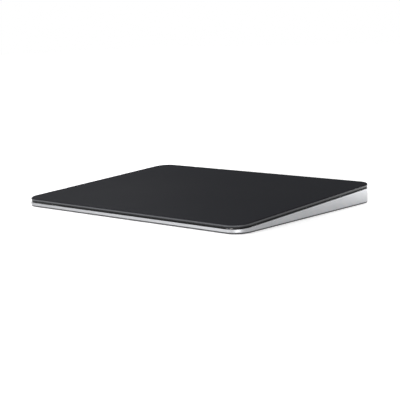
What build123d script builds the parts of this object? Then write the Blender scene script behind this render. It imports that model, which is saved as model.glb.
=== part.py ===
from build123d import *
from math import atan2, cos, sin, tan
import os

# A low wedge-shaped desk trackpad: a rigid glass touch surface that floats on four strain-gauge
# leaf springs inside a machined aluminium tray, with a sideways haptic engine underneath.
# Lengths are in millimetres. X is the width, Y runs from the front edge to the rear, Z is up.
# The origin is on the desk, under the middle of the outline.

# Overall envelope
width = 160.0
depth = 114.9
front_height = 4.9
rear_height = 10.9
corner_radius = 8.7
overcut = 1.0

# Touch surface, counted down from the glass
glass_thickness = 1.4
glass_inset = 0.1
glass_top_edge = 0.4
glass_lower_edge = 0.12
electrode_thickness = 0.3
electrode_margin = 5.0
electrode_gap = 0.1
flange_thickness = 0.5
flange_inset = 0.45
carrier_web = 0.4
carrier_side_gap = 0.5
rim_gap = 0.35
press_travel = 0.2
shift_travel = 0.15

# Housing
wall = 1.6
floor_thickness = 0.6
underside_height = 0.45
cover_thickness = 0.6
cover_inset = 0.2
cover_edge = 0.12
bottom_edge = 0.25
rim_edge = 0.12
rim_land = 0.4
rim_step = 0.4

# Feet
foot_diameter = 9.0
foot_edge = 0.3
foot_gap = 0.1
foot_side_distance = 11.0
foot_end_distance = 10.5

# Leaf springs with their strain gauges and silicone dampers
side_bay = 22.0
flexure_side_distance = 14.0
flexure_root_distance = 23.4
flexure_reach = 13.0
root_width = 11.0
root_length = 6.4
root_corner = 1.5
neck_width = 6.0
leaf_thickness = 0.4
nut_bar_thickness = 0.35
tip_diameter = 8.0
damper_diameter = 6.0
damper_thickness = 0.8
gauge_width = 2.4
gauge_length = 3.6
gauge_thickness = 0.1
gauge_root_gap = 1.0
root_screw_spacing = 6.6
screw_seat = 0.6

# Screws
screw_shank = 1.4
screw_head = 2.3
screw_head_height = 0.45
head_clearance = 0.15
shank_clearance = 0.1
thread_clearance = 0.02
socket_across = 0.9
socket_depth = 0.22
board_screw_shank = 1.2
board_screw_bite = 0.8
standoff_diameter = 3.4
hole_floor = 0.25

# Haptic engine
engine_gap = 1.45
engine_plate_thickness = 0.4
engine_end_margin = 2.0
engine_plate_corner = 2.0
engine_boss_diameter = 5.0
engine_screw_edge = 2.5
engine_screw_gap = 0.3
rail_width = 5.0
rail_overhang = 0.5
rail_thickness = 2.0
rail_screw_inset = 4.0
pole_gap = 0.35
leg_length = 7.0
back_iron = 2.2
outer_leg = 2.0
centre_leg = 4.0
coil_slot = 3.0
core_thickness = 1.3
core_gap = 1.0
core_drop = 0.8
coil_gap = 0.05
coil_side_build = 2.2
coil_top_build = 0.35
coil_end_gap = 0.5
coil_base_gap = 0.05

# Circuit boards and what stands on them
board_thickness = 0.8
standoff_height = 0.5
main_front_distance = 25.5
main_strip_length = 12.0
main_left_edge = 22.0
main_battery_gap = 3.85
board_hole_inset = 2.6
connector_height = 0.6
connector_width = 6.0
connector_length = 3.0
connector_edge_gap = 1.0
gauge_connector_width = 4.0
can_width = 18.0
can_length = 15.0
can_height = 1.4
can_sheet = 0.2
chip_side = 7.0
chip_height = 0.8
chip_gap = 2.0
antenna_length = 12.0
antenna_width = 3.0
antenna_height = 0.8
antenna_window_margin = 1.5
capacitor_length = 1.6
capacitor_width = 0.8
capacitor_height = 0.6
capacitor_pitch = 2.4

# Battery, which fills the bay between the haptic engine and the rear circuit board
battery_side_gap = 9.0
battery_front_gap = 2.35
battery_rear_gap = 1.05
battery_thickness = 4.2
battery_edge = 1.2
terrace_length = 5.0
terrace_thickness = 0.8
battery_tape = 0.15
tape_width = 6.0
tape_margin = 2.0
protection_width = 4.0
protection_margin = 2.0
protection_thickness = 0.6

# Rear circuit board, charging port and power switch
rear_board_gap = 0.45
rear_board_depth = 7.5
rear_board_right = 40.0
port_width = 8.94
port_height = 3.26
port_shell = 0.3
port_length = 7.1
port_mouth_inset = 0.45
port_hole_gap = 0.18
tongue_width = 6.7
tongue_thickness = 0.7
tongue_length = 4.5
tongue_setback = 0.6
contact_count = 12
contact_pitch = 0.5
contact_width = 0.25
contact_thickness = 0.05
contact_length = 3.4
switch_side_distance = 32.0
switch_travel = 2.6
knob_length = 6.4
knob_height = 3.2
knob_thickness = 0.55
knob_edge = 0.12
knob_sink = 0.1
knob_ridges = 5
ridge_pitch = 0.7
ridge_width = 0.25
ridge_depth = 0.12
recess_gap = 0.2
recess_depth = 0.85
indicator_thickness = 0.1
stem_length = 2.0
stem_height = 1.0
stem_gap = 0.15
switch_body_length = 12.0
switch_body_depth = 4.0
switch_body_height = 3.3
switch_body_sheet = 0.5
slider_length = 5.0
slider_depth = 2.4
slider_gap = 0.12

# Flat cables
cable_thickness = 0.12
cable_gap = 0.04
cable_width = 6.0
gauge_cable_width = 1.6
battery_cable_width = 4.0
touch_cable_width = 8.0
touch_cable_x = -8.0
touch_window_length = 4.0

# Values worked out from the sizes above
tilt = atan2(rear_height - front_height, depth)
slope_depth = depth / cos(tilt)
middle_height = (front_height + rear_height) / 2
carrier_thickness = electrode_thickness + carrier_web
carrier_under = glass_thickness + carrier_thickness
rim_drop = glass_thickness + flange_thickness + rim_gap
floor_under = underside_height + cover_thickness
floor_z = floor_under + floor_thickness
board_z = floor_z + standoff_height
board_top = board_z + board_thickness
connector_top = board_top + connector_height
rear_wall_y = depth / 2 - wall
side_board_x = width / 2 - side_bay


def slope_plane(drop):
    """The plane parallel to the touch surface and this far below it, with X across and Y up the slope."""
    surface = Plane((0, 0, middle_height), x_dir=(1, 0, 0), z_dir=(0, -sin(tilt), cos(tilt)))
    return surface.offset(-drop)


def slope_point(y, drop):
    """The (y, z) of a point that lies y up the slope and this far below the touch surface."""
    return y * cos(tilt) + drop * sin(tilt), middle_height + y * sin(tilt) - drop * cos(tilt)


def slope_foot(y, height):
    """The (y, z) where the line square to the touch surface, y up the slope, comes down to a height."""
    return slope_point(y, y * tan(tilt) + (middle_height - height) / cos(tilt))


def outline(inset, length):
    """The trackpad's rounded outline, this far inside its edge, as long as it is flat or up the slope."""
    RectangleRounded(width - 2 * inset, length - 2 * inset, corner_radius - inset)


def finish(piece, name):
    """Labels a finished piece and writes it under its name."""
    piece.part.label = name
    export_step(piece.part, f"parts/{name}.step")


def ribbon(plane, points, breadth):
    """A flat cable of one width that follows a line of points drawn on a plane across it."""
    with BuildPart() as strip:
        with BuildSketch(plane):
            with BuildLine():
                route = Polyline(*points)
            trace(route, line_width=cable_thickness)
        extrude(amount=breadth / 2, both=True)
    return strip.part


def pan_screws(plane, places, shank_diameter, shank_length, way):
    """Pan-head screws with six-sided sockets, seated on a plane: a way of 1 points their shanks up."""
    with BuildPart() as screws:
        with BuildSketch(plane):
            with Locations(*places):
                Circle(screw_head / 2)
        extrude(amount=-way * screw_head_height)
        with BuildSketch(plane.offset(-way * screw_head_height)):
            with Locations(*places):
                RegularPolygon(socket_across / 2, 6, major_radius=False)
        extrude(amount=way * socket_depth, mode=Mode.SUBTRACT)
        with BuildSketch(plane):
            with Locations(*places):
                Circle(shank_diameter / 2)
        extrude(amount=way * shank_length)
    return screws


os.makedirs("parts", exist_ok=True)

# Places that several pieces share
corners = {
    "front_left": (-1, -1),
    "front_right": (1, -1),
    "rear_left": (-1, 1),
    "rear_right": (1, 1),
}
flexure_x = width / 2 - flexure_side_distance
root_y = slope_depth / 2 - flexure_root_distance
tip_y = root_y + flexure_reach
foot_x = width / 2 - foot_side_distance
foot_y = depth / 2 - foot_end_distance
leaf_top = carrier_under + damper_thickness
leaf_under = leaf_top + leaf_thickness
head_seat = leaf_under + screw_seat
root_screws = [
    (side * flexure_x + half * root_screw_spacing / 2, end * root_y)
    for side, end in corners.values()
    for half in (-1, 1)
]
core_top = carrier_under + core_drop
core_under = core_top + core_thickness
plate_top = core_under + coil_gap + coil_top_build + coil_base_gap
plate_under = plate_top + engine_plate_thickness
main_front_y = main_front_distance - depth / 2
main_strip_y = main_front_y + main_strip_length
pole_x = rail_width / 2 + pole_gap
core_x = pole_x + leg_length + back_iron / 2
core_length = 2 * outer_leg + 2 * coil_slot + centre_leg
core_spacing = core_length + core_gap
cores_length = core_spacing + core_length
rail_length = cores_length + 2 * rail_overhang
rail_screw_spacing = rail_length - 2 * rail_screw_inset
engine_screw_x = core_x + back_iron / 2 + engine_screw_gap + screw_head / 2
engine_plate_width = 2 * (engine_screw_x + engine_screw_edge)
engine_plate_length = cores_length + 2 * engine_end_margin
engine_screw_reach = engine_plate_length / 2 - engine_screw_edge
engine_front_y = main_strip_y + engine_gap
engine_y = engine_front_y + engine_plate_length / 2
engine_screws = [
    (side * engine_screw_x, engine_y + end * engine_screw_reach)
    for side, end in corners.values()
]
rear_board_back = rear_wall_y - rear_board_gap
rear_board_front = rear_board_back - rear_board_depth
rear_board_middle = (rear_board_back + rear_board_front) / 2
rear_screws = [
    (board_hole_inset - side_board_x, rear_board_front + board_hole_inset),
    (-port_width - board_hole_inset, rear_board_middle),
    (port_width + board_hole_inset, rear_board_middle),
    (rear_board_right - board_hole_inset, rear_board_middle),
]
battery_length = 2 * (side_board_x - terrace_length - battery_side_gap)
battery_front_y = engine_front_y + engine_plate_length + battery_front_gap
battery_rear_y = rear_board_front - battery_rear_gap
battery_depth = battery_rear_y - battery_front_y
battery_y = (battery_rear_y + battery_front_y) / 2
battery_z = floor_z + battery_tape
protection_length = battery_depth - 2 * protection_margin
battery_top = battery_z + battery_thickness
terrace_x = battery_length / 2 + terrace_length / 2
main_rear_y = battery_front_y - main_battery_gap
main_screws = [
    (board_hole_inset - side_board_x, main_strip_y - board_hole_inset),
    (side_board_x - board_hole_inset, main_strip_y - board_hole_inset / 2),
    (main_left_edge + board_hole_inset, main_strip_y),
    (side_board_x - board_hole_inset, main_rear_y - board_hole_inset),
]
port_z = board_top + port_height / 2
port_mouth_y = depth / 2 - port_mouth_inset
switch_x = switch_side_distance - width / 2
recess_length = knob_length + switch_travel + 2 * recess_gap
recess_height = knob_height + 2 * recess_gap
knob_x = switch_x - switch_travel / 2
window_length = stem_length + switch_travel + 2 * stem_gap
window_height = stem_height + 2 * stem_gap
cable_rest = cable_gap + cable_thickness / 2
touch_window_y = main_strip_y - touch_window_length / 2
antenna_x = -side_board_x / 2
antenna_y = main_front_y + main_strip_length / 2
rear_plane = Plane((0, depth / 2, 0), x_dir=(-1, 0, 0), z_dir=(0, 1, 0))

# Bosses inside the tray: leaf-spring roots, haptic engine and board standoffs
with BuildPart() as flexure_bosses:
    with BuildSketch(slope_plane(leaf_under)):
        for side, end in corners.values():
            with Locations((side * flexure_x, end * root_y)):
                RectangleRounded(root_width, root_length, root_corner)
    extrude(amount=-rear_height)
    split(bisect_by=Plane.XY.offset(floor_z - floor_thickness / 2), keep=Keep.TOP)

with BuildPart() as engine_bosses:
    with BuildSketch(slope_plane(plate_under)):
        with Locations(*engine_screws):
            Circle(engine_boss_diameter / 2)
    extrude(amount=-rear_height)
    split(bisect_by=Plane.XY.offset(floor_z - floor_thickness / 2), keep=Keep.TOP)

# Housing: one machined aluminium tray
with BuildPart() as housing:
    with BuildSketch(Plane.XY.offset(floor_under)):
        outline(0, depth)
    extrude(amount=rear_height)
    split(bisect_by=slope_plane(rim_drop), keep=Keep.BOTTOM)
    fillet(housing.faces().sort_by(Axis.Z)[0].edges(), bottom_edge)
    chamfer(housing.faces().sort_by(Axis.Z)[-1].edges(), rim_edge)
    with BuildSketch(Plane.XY.offset(floor_z)):
        outline(wall, depth)
    extrude(amount=rear_height, mode=Mode.SUBTRACT)
    # a step inside the rim, so that only a narrow land shows in the dark line under the glass
    with BuildSketch(slope_plane(rim_drop)):
        outline(rim_land, slope_depth)
    extrude(amount=-rim_step, mode=Mode.SUBTRACT)
    add(flexure_bosses.part)
    add(engine_bosses.part)
    with BuildSketch(Plane.XY.offset(floor_z)):
        with Locations(*main_screws, *rear_screws):
            Circle(standoff_diameter / 2)
    extrude(amount=standoff_height)
    # screw holes up into the leaf springs, with deep counterbores from below
    with BuildSketch(slope_plane(leaf_under)):
        with Locations(*root_screws):
            Circle(screw_shank / 2 + shank_clearance)
    extrude(amount=-screw_seat, mode=Mode.SUBTRACT)
    with BuildSketch(slope_plane(head_seat)):
        with Locations(*root_screws):
            Circle(screw_head / 2 + head_clearance)
    extrude(amount=-rear_height, mode=Mode.SUBTRACT)
    # blind threaded holes for the boards and the haptic engine
    with BuildSketch(Plane.XY.offset(board_z)):
        with Locations(*main_screws, *rear_screws):
            Circle(board_screw_shank / 2 + thread_clearance)
    extrude(amount=hole_floor - floor_thickness - standoff_height, mode=Mode.SUBTRACT)
    with BuildSketch(slope_plane(plate_under)):
        with Locations(*engine_screws):
            Circle(board_screw_shank / 2 + thread_clearance)
    extrude(amount=-board_screw_bite, mode=Mode.SUBTRACT)
    # rear wall: charging port, switch recess and the window for the switch's stem
    with BuildSketch(rear_plane):
        with Locations((0, port_z)):
            SlotOverall(port_width + 2 * port_hole_gap, port_height + 2 * port_hole_gap)
        with Locations((-switch_x, port_z)):
            RectangleRounded(window_length, window_height, stem_gap)
    extrude(amount=-wall - overcut, mode=Mode.SUBTRACT)
    with BuildSketch(rear_plane):
        with Locations((-switch_x, port_z)):
            SlotOverall(recess_length, recess_height)
    extrude(amount=-recess_depth, mode=Mode.SUBTRACT)
    # radio window in the floor, closed by the plastic cover
    with BuildSketch(Plane.XY.offset(floor_under)):
        with Locations((antenna_x, antenna_y)):
            RectangleRounded(
                antenna_length + 2 * antenna_window_margin,
                antenna_width + 2 * antenna_window_margin,
                antenna_window_margin,
            )
    extrude(amount=floor_thickness, mode=Mode.SUBTRACT)
finish(housing, "housing")

# Bottom cover: a dark plastic plate all over the underside, with a hole for each foot. Its edge
# is the dark line at the foot of the tray.
with BuildPart() as bottom_cover:
    with BuildSketch(Plane.XY.offset(underside_height)):
        outline(cover_inset, depth)
    extrude(amount=cover_thickness)
    chamfer(bottom_cover.faces().sort_by(Axis.Z)[0].edges(), cover_edge)
    with BuildSketch(Plane.XY.offset(underside_height)):
        with GridLocations(2 * foot_x, 2 * foot_y, 2, 2):
            Circle(foot_diameter / 2 + foot_gap)
    extrude(amount=cover_thickness, mode=Mode.SUBTRACT)
finish(bottom_cover, "bottom_cover")

for place, (side, end) in corners.items():
    # Foot: a rubber disc stuck to the tray through the cover
    with BuildPart() as foot:
        with BuildSketch(Plane.XY):
            with Locations((side * foot_x, end * foot_y)):
                Circle(foot_diameter / 2)
        extrude(amount=floor_under)
        chamfer(foot.faces().sort_by(Axis.Z)[0].edges(), foot_edge)
    finish(foot, f"{place}_foot")

    # Leaf spring: its root is screwed to a boss, its free tip carries a damper
    spring_x = side * flexure_x
    with BuildPart() as flexure:
        with BuildSketch(slope_plane(leaf_under)):
            with Locations((spring_x, end * root_y)):
                RectangleRounded(root_width, root_length, root_corner)
            with Locations((spring_x, end * (root_y + tip_y) / 2)):
                Rectangle(neck_width, flexure_reach)
            with Locations((spring_x, end * tip_y)):
                Circle(tip_diameter / 2)
        extrude(amount=leaf_thickness)
        with BuildSketch(slope_plane(leaf_top)):
            with Locations((spring_x, end * root_y)):
                RectangleRounded(root_width, root_length, root_corner)
        extrude(amount=nut_bar_thickness)
        with BuildSketch(slope_plane(leaf_under)):
            with Locations((spring_x, end * root_y)):
                with GridLocations(root_screw_spacing, 0, 2, 1):
                    Circle(screw_shank / 2 + thread_clearance)
        extrude(amount=leaf_thickness + nut_bar_thickness, mode=Mode.SUBTRACT)
    finish(flexure, f"{place}_flexure")

    # Strain gauge: a foil patch bonded to the neck, next to the root
    gauge_y = root_y + root_length / 2 + gauge_root_gap + gauge_length / 2
    with BuildPart() as gauge:
        with BuildSketch(slope_plane(leaf_top)):
            with Locations((spring_x, end * gauge_y)):
                Rectangle(gauge_width, gauge_length)
        extrude(amount=gauge_thickness)
    finish(gauge, f"{place}_strain_gauge")

    # Damper: a silicone pad between the spring's tip and the carrier
    with BuildPart() as damper:
        with BuildSketch(slope_plane(leaf_top)):
            with Locations((spring_x, end * tip_y)):
                Circle(damper_diameter / 2)
        extrude(amount=damper_thickness)
    finish(damper, f"{place}_damper")

root_screw_length = screw_seat + leaf_thickness + nut_bar_thickness
finish(pan_screws(slope_plane(head_seat), root_screws, screw_shank, root_screw_length, 1), "flexure_screws")

# Touch glass: a black plate that covers the whole top, with a polished rounded edge
with BuildPart() as touch_glass:
    with BuildSketch(slope_plane(0)):
        outline(glass_inset, slope_depth)
    extrude(amount=-glass_thickness)
    level_faces = touch_glass.faces().filter_by(slope_plane(0)).sort_by(Axis.Z)
    fillet(level_faces[-1].edges(), glass_top_edge)
    chamfer(level_faces[0].edges(), glass_lower_edge)
finish(touch_glass, "touch_glass")

# Electrode board: the touch-sensing layer bonded under the glass
with BuildPart() as electrode_board:
    with BuildSketch(slope_plane(glass_thickness)):
        outline(electrode_margin, slope_depth)
    extrude(amount=-electrode_thickness)
finish(electrode_board, "electrode_board")

# Carrier plate: a stiff black tray that holds the glass and overhangs the housing's rim
with BuildPart() as carrier_plate:
    with BuildSketch(slope_plane(glass_thickness)):
        outline(flange_inset, slope_depth)
    extrude(amount=-flange_thickness)
    with BuildSketch(slope_plane(glass_thickness)):
        outline(wall + carrier_side_gap, slope_depth)
    extrude(amount=-carrier_thickness)
    with BuildSketch(slope_plane(glass_thickness)):
        outline(electrode_margin - electrode_gap, slope_depth)
    extrude(amount=-electrode_thickness, mode=Mode.SUBTRACT)
    with BuildSketch(slope_plane(carrier_under)):
        with Locations((touch_cable_x, touch_window_y)):
            RectangleRounded(touch_cable_width + 2 * overcut, touch_window_length, overcut)
        with Locations((0, engine_y)):
            with GridLocations(0, rail_screw_spacing, 1, 2):
                Circle(screw_shank / 2 + thread_clearance)
    extrude(amount=carrier_web, mode=Mode.SUBTRACT)
finish(carrier_plate, "carrier_plate")

# Attraction rail: the soft-iron bar that the haptic engine pulls sideways
rail_under = carrier_under + rail_thickness
rail_screw_places = [(0, engine_y - rail_screw_spacing / 2), (0, engine_y + rail_screw_spacing / 2)]
with BuildPart() as attraction_rail:
    with BuildSketch(slope_plane(carrier_under)):
        with Locations((0, engine_y)):
            Rectangle(rail_width, rail_length)
    extrude(amount=-rail_thickness)
    with BuildSketch(slope_plane(rail_under)):
        with Locations(*rail_screw_places):
            Circle(screw_shank / 2 + shank_clearance)
    extrude(amount=rail_thickness, mode=Mode.SUBTRACT)
    with BuildSketch(slope_plane(rail_under)):
        with Locations(*rail_screw_places):
            Circle(screw_head / 2 + head_clearance)
    extrude(amount=screw_head_height, mode=Mode.SUBTRACT)
finish(attraction_rail, "attraction_rail")

rail_seat = slope_plane(rail_under - screw_head_height)
rail_screw_length = rail_thickness - screw_head_height + carrier_web
finish(pan_screws(rail_seat, rail_screw_places, screw_shank, rail_screw_length, 1), "rail_screws")

# Haptic engine base: a steel plate with a raised seat under each pair of cores
with BuildPart() as engine_base:
    with BuildSketch(slope_plane(plate_under)):
        with Locations((0, engine_y)):
            RectangleRounded(engine_plate_width, engine_plate_length, engine_plate_corner)
    extrude(amount=engine_plate_thickness)
    with BuildSketch(slope_plane(plate_top)):
        with Locations((-core_x, engine_y), (core_x, engine_y)):
            Rectangle(back_iron, cores_length)
    extrude(amount=plate_top - core_under)
    with BuildSketch(slope_plane(plate_under)):
        with Locations(*engine_screws):
            Circle(board_screw_shank / 2 + shank_clearance)
    extrude(amount=engine_plate_thickness, mode=Mode.SUBTRACT)
finish(engine_base, "engine_base_plate")

# Cores and coils: two on each side of the rail, each coil round its core's centre leg
for side, side_name in ((-1, "left"), (1, "right")):
    for end, end_name in ((-1, "front"), (1, "rear")):
        core_y = engine_y + end * core_spacing / 2
        leg_x = side * (pole_x + leg_length / 2)
        with BuildPart() as core:
            with BuildSketch(slope_plane(core_under)):
                with Locations((side * core_x, core_y)):
                    Rectangle(back_iron, core_length)
                with Locations((leg_x, core_y)):
                    Rectangle(leg_length, centre_leg)
                outer_y = (core_length - outer_leg) / 2
                with Locations((leg_x, core_y - outer_y), (leg_x, core_y + outer_y)):
                    Rectangle(leg_length, outer_leg)
            extrude(amount=core_thickness)
        finish(core, f"{end_name}_{side_name}_core")

        coil_middle = slope_plane(core_top + core_thickness / 2).from_local_coords(Vector(leg_x, core_y, 0))
        with BuildPart() as coil:
            with BuildSketch(Plane(coil_middle, x_dir=(0, cos(tilt), sin(tilt)), z_dir=(1, 0, 0))):
                RectangleRounded(
                    centre_leg + 2 * (coil_gap + coil_side_build),
                    core_thickness + 2 * (coil_gap + coil_top_build),
                    coil_top_build,
                )
                Rectangle(centre_leg + 2 * coil_gap, core_thickness + 2 * coil_gap, mode=Mode.SUBTRACT)
            extrude(amount=leg_length / 2 - coil_end_gap, both=True)
        finish(coil, f"{end_name}_{side_name}_coil")

plate_screw_length = engine_plate_thickness + board_screw_bite - thread_clearance
plate_screws = pan_screws(slope_plane(plate_top), engine_screws, board_screw_shank, plate_screw_length, -1)
finish(plate_screws, "engine_screws")

# Main circuit board: a narrow strip along the front with a broad right-hand end
with BuildPart() as main_board:
    with BuildSketch(Plane.XY.offset(board_z)):
        with BuildLine():
            Polyline(
                (-side_board_x, main_front_y),
                (side_board_x, main_front_y),
                (side_board_x, main_rear_y),
                (main_left_edge, main_rear_y),
                (main_left_edge, main_strip_y),
                (-side_board_x, main_strip_y),
                close=True,
            )
        make_face()
        with Locations(*main_screws):
            Circle(board_screw_shank / 2 + shank_clearance, mode=Mode.SUBTRACT)
    extrude(amount=board_thickness)
finish(main_board, "main_board")

# What stands on the main board
can_x = (main_left_edge + side_board_x) / 2
can_y = (main_strip_y + main_rear_y - connector_length) / 2
with BuildPart() as shield_can:
    with BuildSketch(Plane.XY.offset(board_top)):
        with Locations((can_x, can_y)):
            RectangleRounded(can_width, can_length, 2 * can_sheet)
    extrude(amount=can_height)
    with BuildSketch(Plane.XY.offset(board_top)):
        with Locations((can_x, can_y)):
            Rectangle(can_width - 2 * can_sheet, can_length - 2 * can_sheet)
    extrude(amount=can_height - can_sheet, mode=Mode.SUBTRACT)
finish(shield_can, "shield_can")

for place, chip_name in enumerate(("touch_controller_chip", "processor_chip")):
    chip_x = main_left_edge + (chip_side + chip_gap) * (place + 1 / 2)
    with BuildPart() as chip:
        with BuildSketch(Plane.XY.offset(board_top)):
            with Locations((chip_x, antenna_y)):
                Rectangle(chip_side, chip_side)
        extrude(amount=chip_height)
    finish(chip, chip_name)

with BuildPart() as antenna:
    with BuildSketch(Plane.XY.offset(board_top)):
        with Locations((antenna_x, antenna_y)):
            Rectangle(antenna_length, antenna_width)
    extrude(amount=antenna_height)
finish(antenna, "radio_antenna")

gauge_plug_x = side_board_x - connector_length
rear_cable_x = main_left_edge + connector_edge_gap + connector_width / 2
battery_cable_x = battery_length / 2 + protection_width / 2
rear_plug_y = main_rear_y - connector_length
haptic_plug_x = main_left_edge + connector_length / 2 + cable_gap
touch_plug_y = main_front_y + connector_length
rear_cable_start = rear_board_front + connector_length
connector_places = [
    (touch_cable_x, touch_plug_y, touch_cable_width, connector_length),
    (-gauge_plug_x, antenna_y, connector_length, gauge_connector_width),
    (gauge_plug_x, antenna_y, connector_length, gauge_connector_width),
    (haptic_plug_x, engine_y, connector_length, connector_width),
    (rear_cable_x, rear_plug_y, connector_width, connector_length),
    (battery_cable_x, rear_plug_y, connector_width, connector_length),
    (rear_cable_x, rear_cable_start, connector_width, connector_length),
]
with BuildPart() as connectors:
    with BuildSketch(Plane.XY.offset(board_top)):
        for x, y, across, along in connector_places:
            with Locations((x, y)):
                Rectangle(across, along)
    extrude(amount=connector_height)
finish(connectors, "cable_connectors")

with BuildPart() as capacitors:
    with BuildSketch(Plane.XY.offset(board_top)):
        for x, columns in ((antenna_x - antenna_length, 2), (main_left_edge / 2, 6)):
            with Locations((x, antenna_y)):
                with GridLocations(capacitor_pitch, capacitor_pitch, columns, 3):
                    Rectangle(capacitor_length, capacitor_width)
    extrude(amount=capacitor_height)
finish(capacitors, "board_capacitors")

board_screw_length = board_thickness + board_screw_bite
board_seat = Plane.XY.offset(board_top)
board_screws = pan_screws(board_seat, main_screws + rear_screws, board_screw_shank, board_screw_length, -1)
finish(board_screws, "board_screws")

# Battery: a flat pouch cell taped to the floor, its protection board on the terrace at one end
with BuildPart() as battery:
    with BuildSketch(Plane.XY.offset(battery_z)):
        with Locations((0, battery_y)):
            Rectangle(battery_length, battery_depth)
    extrude(amount=battery_thickness)
    fillet(battery.edges().filter_by(Axis.Z), battery_edge)
    fillet(battery.faces().sort_by(Axis.Z)[-1].edges(), battery_edge)
    with BuildSketch(Plane.XY.offset(battery_z)):
        with Locations((terrace_x - battery_edge / 2, battery_y)):
            Rectangle(terrace_length + battery_edge, battery_depth - 2 * battery_edge)
    extrude(amount=terrace_thickness)
finish(battery, "battery_cell")

with BuildPart() as tapes:
    with BuildSketch(Plane.XY.offset(floor_z)):
        with Locations((0, battery_y)):
            with GridLocations(battery_length / 2, 0, 2, 1):
                Rectangle(tape_width, battery_depth - 2 * tape_margin)
    extrude(amount=battery_tape)
finish(tapes, "battery_adhesive_strips")

with BuildPart() as protection_board:
    with BuildSketch(Plane.XY.offset(battery_z + terrace_thickness)):
        with Locations((battery_cable_x + cable_gap, battery_y)):
            Rectangle(protection_width, protection_length)
    extrude(amount=protection_thickness)
finish(protection_board, "battery_protection_board")

# Flat cables
protection_top = battery_z + terrace_thickness + protection_thickness
protection_front = battery_y - protection_length / 2
with BuildPart() as battery_cable:
    add(
        ribbon(
            Plane((battery_cable_x + cable_gap, 0, 0), x_dir=(0, 1, 0), z_dir=(1, 0, 0)),
            [
                (protection_front + connector_length, protection_top + cable_rest),
                (protection_front - cable_gap, protection_top + cable_rest),
                (rear_plug_y + connector_length, connector_top + cable_rest),
                (rear_plug_y - connector_length / 2, connector_top + cable_rest),
            ],
            battery_cable_width,
        )
    )
finish(battery_cable, "battery_cable")

with BuildPart() as rear_cable:
    add(
        ribbon(
            Plane((rear_cable_x, 0, 0), x_dir=(0, 1, 0), z_dir=(1, 0, 0)),
            [
                (rear_cable_start + connector_length / 2, connector_top + cable_rest),
                (rear_cable_start - connector_length / 2, connector_top + cable_rest),
                (battery_rear_y + 2 * cable_rest, battery_top),
                (battery_rear_y - battery_edge, battery_top + cable_rest),
                (battery_front_y + battery_edge, battery_top + cable_rest),
                (battery_front_y - 2 * cable_rest, battery_top),
                (rear_plug_y + connector_length, connector_top + cable_rest),
                (rear_plug_y - connector_length / 2, connector_top + cable_rest),
            ],
            cable_width,
        )
    )
finish(rear_cable, "rear_board_cable")

plate_edge_x = engine_plate_width / 2
plate_high = slope_point(engine_y + cable_width / 2, plate_top)[1]
with BuildPart() as haptic_cable:
    add(
        ribbon(
            Plane((0, engine_y, 0), x_dir=(1, 0, 0), z_dir=(0, -1, 0)),
            [
                (plate_edge_x - connector_length / 2, plate_high + cable_rest),
                (plate_edge_x + cable_gap, plate_high + cable_rest),
                (main_left_edge, connector_top + cable_rest),
                (haptic_plug_x + connector_length / 2, connector_top + cable_rest),
            ],
            cable_width,
        )
    )
finish(haptic_cable, "haptic_cable")

with BuildPart() as touch_cable:
    add(
        ribbon(
            Plane((touch_cable_x, 0, 0), x_dir=(0, 1, 0), z_dir=(1, 0, 0)),
            [
                slope_point(touch_window_y, glass_thickness + electrode_thickness + cable_gap),
                (touch_window_y, connector_top + 4 * cable_rest),
                (touch_plug_y + connector_length / 2, connector_top + cable_rest),
                (touch_plug_y - connector_length / 2, connector_top + cable_rest),
            ],
            touch_cable_width,
        )
    )
finish(touch_cable, "touch_cable")

# Strain-gauge cables: one down each side, with a branch to the main board
root_outer = root_y + root_length / 2 + 2 * cable_rest
root_inner = root_y - root_length / 2 - 2 * cable_rest
gauge_end = root_y + root_length / 2 + gauge_root_gap - cable_gap
on_leaf = leaf_top - cable_rest
on_nut_bar = leaf_top - nut_bar_thickness - cable_rest
on_floor = floor_z + cable_rest
gauge_branch_x = side_board_x + 2 * cable_rest
for side, side_name in ((-1, "left"), (1, "right")):
    with BuildPart() as gauge_cable:
        add(
            ribbon(
                Plane((side * flexure_x, 0, 0), x_dir=(0, 1, 0), z_dir=(1, 0, 0)),
                [
                    slope_point(-gauge_end, on_leaf),
                    slope_point(-root_outer, on_leaf),
                    slope_point(-root_outer, on_nut_bar),
                    slope_point(-root_inner, on_nut_bar),
                    slope_foot(-root_inner, on_floor),
                    slope_foot(root_inner, on_floor),
                    slope_point(root_inner, on_nut_bar),
                    slope_point(root_outer, on_nut_bar),
                    slope_point(root_outer, on_leaf),
                    slope_point(gauge_end, on_leaf),
                ],
                gauge_cable_width,
            )
        )
        add(
            ribbon(
                Plane((0, antenna_y, 0), x_dir=(1, 0, 0), z_dir=(0, -1, 0)),
                [
                    (side * flexure_x, on_floor),
                    (side * gauge_branch_x, on_floor),
                    (side * gauge_branch_x, connector_top + cable_rest),
                    (side * (gauge_plug_x - connector_length / 2), connector_top + cable_rest),
                ],
                gauge_connector_width,
            )
        )
    finish(gauge_cable, f"{side_name}_gauge_cable")

# Rear circuit board: carries the charging port and the power switch
with BuildPart() as rear_board:
    with BuildSketch(Plane.XY.offset(board_z)):
        with Locations(((rear_board_right - side_board_x) / 2, rear_board_middle)):
            Rectangle(rear_board_right + side_board_x, rear_board_depth)
        with Locations(*rear_screws):
            Circle(board_screw_shank / 2 + shank_clearance, mode=Mode.SUBTRACT)
    extrude(amount=board_thickness)
finish(rear_board, "rear_board")

# Charging port: steel shell, plastic insulator with its tongue, and the contact strips
mouth_plane = Plane((0, port_mouth_y, port_z), x_dir=(-1, 0, 0), z_dir=(0, 1, 0))
bore_width = port_width - 2 * port_shell
bore_height = port_height - 2 * port_shell
insulator_length = port_length - tongue_setback - tongue_length
with BuildPart() as port_shell_tube:
    with BuildSketch(mouth_plane):
        SlotOverall(port_width, port_height)
        SlotOverall(bore_width, bore_height, mode=Mode.SUBTRACT)
    extrude(amount=-port_length)
finish(port_shell_tube, "port_shell")

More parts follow.
